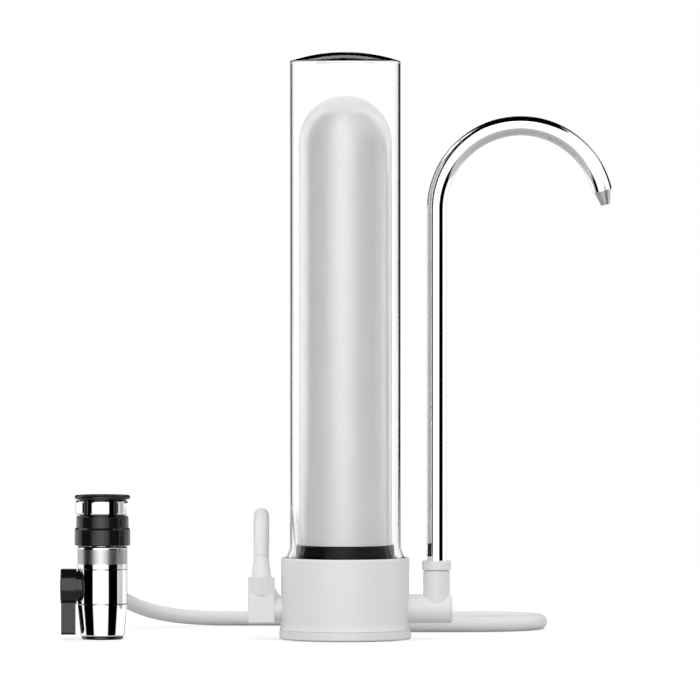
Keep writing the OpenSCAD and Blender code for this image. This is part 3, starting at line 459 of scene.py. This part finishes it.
floor_corners = [(FLOOR_REACH * x, FLOOR_REACH * y, 0) for x, y in ((-1, -1), (1, -1), (1, 1), (-1, 1))]
floor = stage_plane("floor", floor_corners, floor_material())
floor.visible_glossy = False


# Light: a soft white room for plain surfaces; metal and glass mirror a window, black cards and a dark ceiling

world = bpy.data.worlds.new("studio")
scene.world = world
world.use_nodes = True
sky = world.node_tree
sky.nodes.clear()


def number(operation, *values):
    return maths(sky, operation, *values)


def product(first, *others):
    for other in others:
        first = number("MULTIPLY", first, other)
    return first


def greatest(first, *others):
    for other in others:
        first = number("MAXIMUM", first, other)
    return first


def without(value):
    """What is left of 1 without a value."""
    return number("SUBTRACT", 1.0, value)


def rise(value, start, stop, low=0.0, high=1.0):
    return add(sky, "ShaderNodeMapRange", {"Value": value, "From Min": start, "From Max": stop, "To Min": low,
                                           "To Max": high}, interpolation_type="SMOOTHSTEP").outputs["Result"]


def fall(value, start, stop, high=1.0):
    return rise(value, start, stop, high, 0.0)


def blend(factor, a, b):
    return add(sky, "ShaderNodeMix", {"Factor": factor, "A": a, "B": b}).outputs["Result"]


def turn_past(value, start, stop):
    """0 before and 1 after a turn between two angles in degrees."""
    return rise(value, math.radians(start), math.radians(stop))


def turn_before(value, start, stop, high=1.0):
    """The given height before and 0 after a turn between two angles in degrees."""
    return fall(value, math.radians(start), math.radians(stop), high)


def between(value, low, high, edge=2):
    """1 between two angles in degrees, with soft edges."""
    return product(turn_past(value, low - edge, low + edge), turn_before(value, high - edge, high + edge))


# Direction of a ray: its turn is 0 towards the front and grows to the right

direction = add(sky, "ShaderNodeTexCoord").outputs["Generated"]
split = add(sky, "ShaderNodeSeparateXYZ", {"Vector": direction})
dx, dy, dz = (split.outputs[axis] for axis in "XYZ")
turn = number("ARCTAN2", dx, number("MULTIPLY", dy, -1.0))
aside = number("ABSOLUTE", turn)

# Kind of ray: the canister's wall bends it twice, and it has bent more often where it has been inside

path = add(sky, "ShaderNodeLightPath")
ray_depth = path.outputs["Ray Depth"]
bends = path.outputs["Transmission Depth"]
singular = path.outputs["Is Singular Ray"]
unbent = number("LESS_THAN", bends, 0.5)
in_wall = number("COMPARE", bends, 2.0, 0.5)
inside = number("GREATER_THAN", bends, 2.5)
outside = without(inside)

# Window in front, with a black card at each side of it

WINDOW_LEFT, WINDOW_PEAK, WINDOW_RIGHT = -44, -6, 30
LEFT_CARD_END, RIGHT_CARD_END = -96, 76
RIGHT_CARD_TOP = (0.12, 0.2)
window = product(turn_past(turn, WINDOW_LEFT, WINDOW_PEAK), turn_before(turn, WINDOW_PEAK, WINDOW_RIGHT))
right_card = product(between(turn, WINDOW_RIGHT, RIGHT_CARD_END), fall(dz, *RIGHT_CARD_TOP))
left_card = between(turn, LEFT_CARD_END, WINDOW_LEFT)

# Dark ceiling, which hangs low behind the object and has a lighter strip there

CEILING_FRONT, CEILING_BEHIND, CEILING_EDGE = 0.84, 0.035, 0.012
CEILING_SLANT = -0.7
BEHIND_LEFT, BEHIND_RIGHT = (-137, -131), (96, 102)
STRIP_FOOT, STRIP_HEAD, STRIP_LIGHT = (0.38, 0.42), (0.51, 0.54), 0.75
behind_right = turn_past(number("MULTIPLY_ADD", dz, CEILING_SLANT, turn), *BEHIND_RIGHT)
behind = greatest(behind_right, turn_before(turn, *BEHIND_LEFT))
over_edge = number("SUBTRACT", dz, blend(behind, CEILING_FRONT, CEILING_BEHIND))
strip = product(rise(dz, *STRIP_FOOT), fall(dz, *STRIP_HEAD), behind, STRIP_LIGHT)
ceiling = number("SUBTRACT", rise(over_edge, -CEILING_EDGE, CEILING_EDGE), strip)
ceiling = product(ceiling, outside)

# Dark slits behind, which the outside of the canister mirrors on its right only

SLIT = (158, 175)
on_left = product(singular, number("LESS_THAN", turn, 0.0))
slit = product(between(aside, *SLIT), unbent, without(on_left))

# Dark outline of the canister, from rays that are mirrored inside its wall or its thick top

LEFT_OUTLINE, RIGHT_OUTLINE = (-159, -155), (156, 160)
LEFT_DARKNESS = 0.8
outline = greatest(turn_past(turn, *RIGHT_OUTLINE), turn_before(turn, *LEFT_OUTLINE, LEFT_DARKNESS))
outline = product(outline, number("GREATER_THAN", ray_depth, 3.5), in_wall)
outline = greatest(outline, number("GREATER_THAN", ray_depth, MANY_BOUNCES))

# Room that is mirrored, over a grey counter, with only a faint reflection of its front on the canister

ROOM, ROOM_INSIDE = 1.12, 1.3
WINDOW_LIGHT, WINDOW_INSIDE = 1.4, 3.0
RIM, RIM_EDGE, RIM_LIGHT = (96, 128), 8, 2.0
FRONT_END, FRONT_SHEEN = (90, 120), 0.1
COUNTER_EDGE, COUNTER_FADE, COUNTER_LIGHT = (-0.45, -0.33), (-1.0, -0.4), (0.42, 0.6)
rim = product(between(aside, *RIM, RIM_EDGE), inside)
room = number("MULTIPLY_ADD", rim, RIM_LIGHT, blend(inside, ROOM, ROOM_INSIDE))
lit = number("MULTIPLY_ADD", window, blend(inside, WINDOW_LIGHT, WINDOW_INSIDE), room)
dark = greatest(right_card, left_card, ceiling, slit, outline)
on_front = product(singular, outside, turn_before(aside, *FRONT_END))
above = product(lit, without(dark), blend(on_front, 1.0, FRONT_SHEEN))
below = rise(dz, *COUNTER_FADE, *COUNTER_LIGHT)
mirrored = blend(rise(dz, *COUNTER_EDGE), below, above)

# Soft light on plain surfaces, stronger from the front, the back and above, and a little from the left

SOFT_LEAST, SOFT_DEPTH, SOFT_HEIGHT, SOFT_TOP, SOFT_RIGHT = 0.46, 1.0, 0.42, 0.4, -0.1
soft = number("MULTIPLY_ADD", product(dy, dy), SOFT_DEPTH, SOFT_LEAST)
soft = number("MULTIPLY_ADD", product(dz, dz), SOFT_HEIGHT, soft)
soft = number("MULTIPLY_ADD", greatest(dz, 0.0), SOFT_TOP, soft)
soft = number("MULTIPLY_ADD", dx, SOFT_RIGHT, soft)

# Level of the sky: white to the camera, the mirrored room to metal and glass, and soft light to the rest

shiny = greatest(path.outputs["Is Glossy Ray"], path.outputs["Is Transmission Ray"])
shiny = product(shiny, number("LESS_THAN", path.outputs["Diffuse Depth"], 0.5))
level = blend(path.outputs["Is Camera Ray"], blend(shiny, soft, mirrored), 1.0)
background = add(sky, "ShaderNodeBackground", {"Color": (1, 1, 1, 1), "Strength": level})
output = add(sky, "ShaderNodeOutputWorld")
sky.links.new(background.outputs["Background"], output.inputs["Surface"])

scene.view_settings.view_transform = "Standard"
